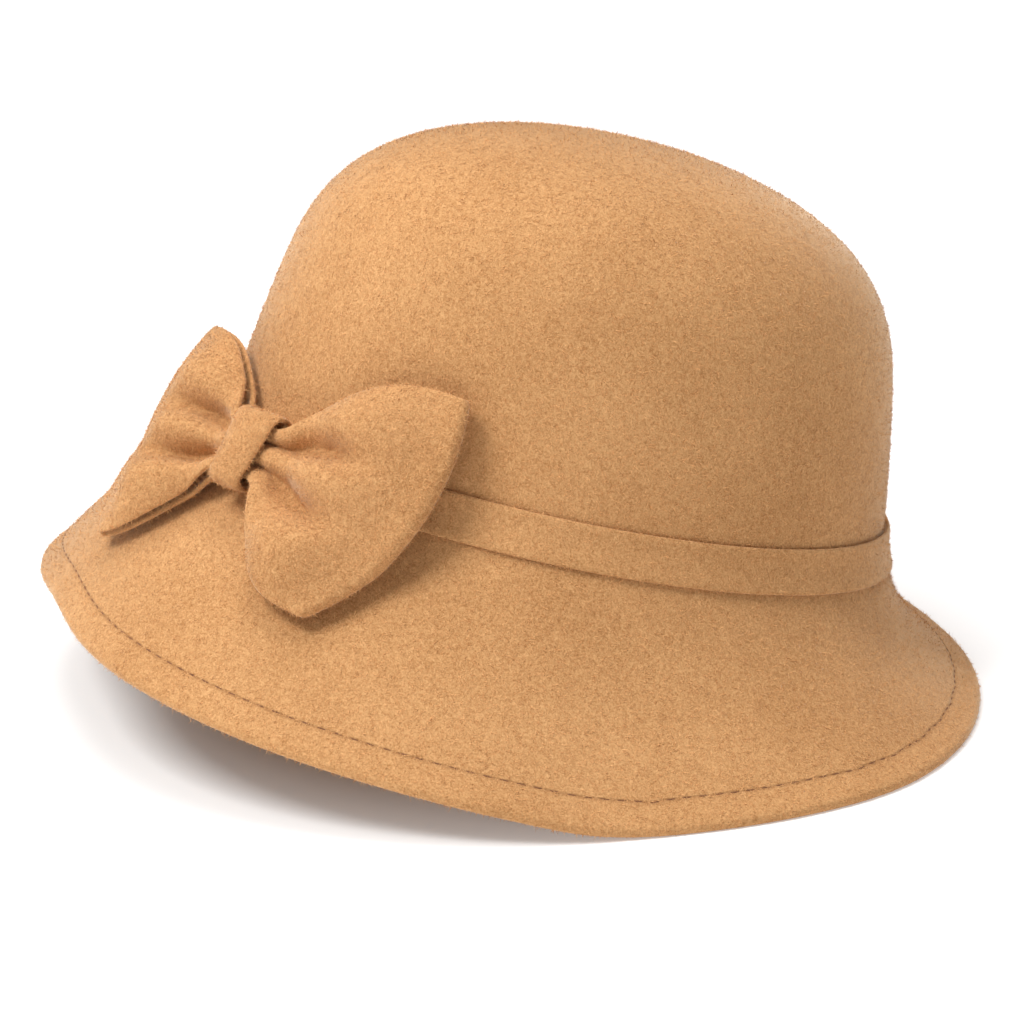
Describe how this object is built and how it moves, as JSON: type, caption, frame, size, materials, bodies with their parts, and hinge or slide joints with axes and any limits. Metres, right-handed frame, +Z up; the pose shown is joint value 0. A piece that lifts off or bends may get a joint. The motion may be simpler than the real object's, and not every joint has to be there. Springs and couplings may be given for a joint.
{
  "type": "cloche hat",
  "caption": "Tan wool felt cloche hat with a turned-under stitched hem, a narrow felt band and a looped felt bow at the front left.",
  "frame": {"origin": "on the table, under the middle of the hat's length and width as it lies", "axes": "+Z up from the table, -Y towards the front of the hat, +X towards the wearer's left"},
  "size_m": [0.28, 0.2758, 0.1663],
  "materials": {
    "wool_felt": "matte",
    "band_felt": "matte",
    "bow_felt": "matte",
    "knot_felt": "matte"
  },
  "bodies": {
    "root": {"crown_and_brim": "wool_felt", "band": "band_felt", "bow": "bow_felt", "bow_knot": "knot_felt"}
  },
  "joints": []
}
